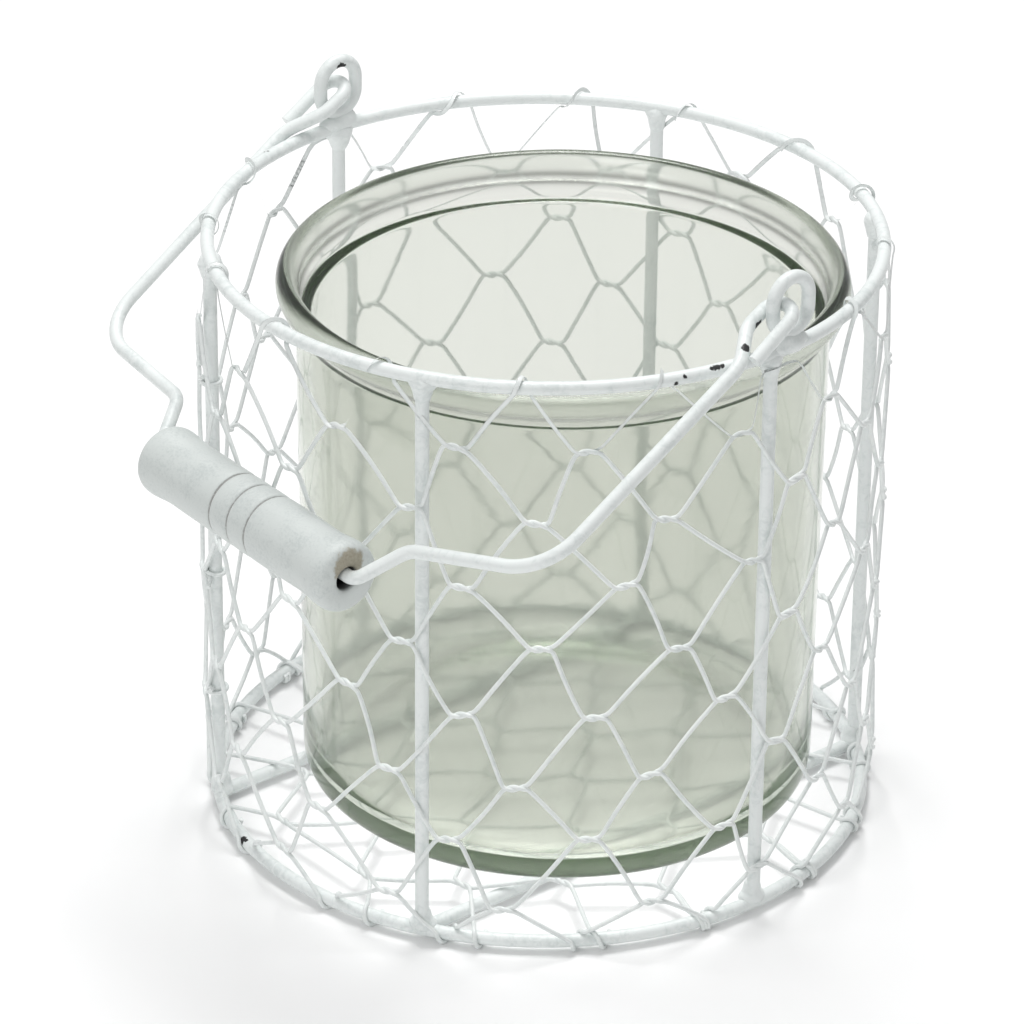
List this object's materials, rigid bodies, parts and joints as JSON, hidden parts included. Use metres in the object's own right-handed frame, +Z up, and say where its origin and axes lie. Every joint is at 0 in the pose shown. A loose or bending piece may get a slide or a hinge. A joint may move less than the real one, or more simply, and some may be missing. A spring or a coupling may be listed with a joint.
{
  "type": "mason jar lantern",
  "caption": "Wide-mouthed glass jar in a round wire basket with hexagonal netting and a swinging wire bail with a turned grip.",
  "frame": {"origin": "on the basket's axis, at the level of the surface it stands on", "axes": "+Z up, +X along the bail's hinge line towards the right ear, -Y towards the side on which the lowered bail lies"},
  "size_m": [0.1588, 0.1705, 0.1545],
  "materials": {
    "frame_paint": "brushed white paint on steel wire, chipped to dark metal at the joints and rubbing places",
    "netting_paint": "thin white paint on twisted galvanised netting wire",
    "grip_paint": "white paint on turned wood, worn to bare wood round the bore",
    "jar_glass": "clear recycled soda glass with a pale green-grey tint, dark green in its thick edges"
  },
  "bodies": {
    "basket": {"top_ring": "frame_paint", "bottom_ring": "frame_paint", "post_1": "frame_paint", "post_2": "frame_paint", "post_3": "frame_paint", "post_4": "frame_paint", "post_5": "frame_paint", "post_6": "frame_paint", "floor_bar_left": "frame_paint", "floor_bar_right": "frame_paint", "left_ear_eye": "frame_paint", "right_ear_eye": "frame_paint", "top_post_welds": "frame_paint", "foot_welds": "frame_paint", "ear_welds": "frame_paint", "side_netting": "netting_paint", "top_netting_ties": "netting_paint", "bottom_netting_ties": "netting_paint", "base_netting": "netting_paint"},
    "bail": {"bail_wire": "frame_paint"},
    "grip": {"wooden_grip": "grip_paint"},
    "jar": {"glass_jar": "jar_glass"}
  },
  "joints": [
    {"name": "bail_swing", "type": "hinge", "parent": "basket", "child": "bail", "pos_m": [0, 0.0022, 0.14745], "axis": [-1, 0, 0], "range_deg": [0, 238]},
    {"name": "grip_spin", "type": "hinge", "parent": "bail", "child": "grip", "pos_m": [0.005, -0.08474, 0.09846], "axis": [0.9993, -0.0328, -0.0182], "continuous": true},
    {"name": "jar_lift", "type": "slide", "parent": "basket", "child": "jar", "axis": [0, 0, 1], "range_m": [0, 0.165]}
  ]
}
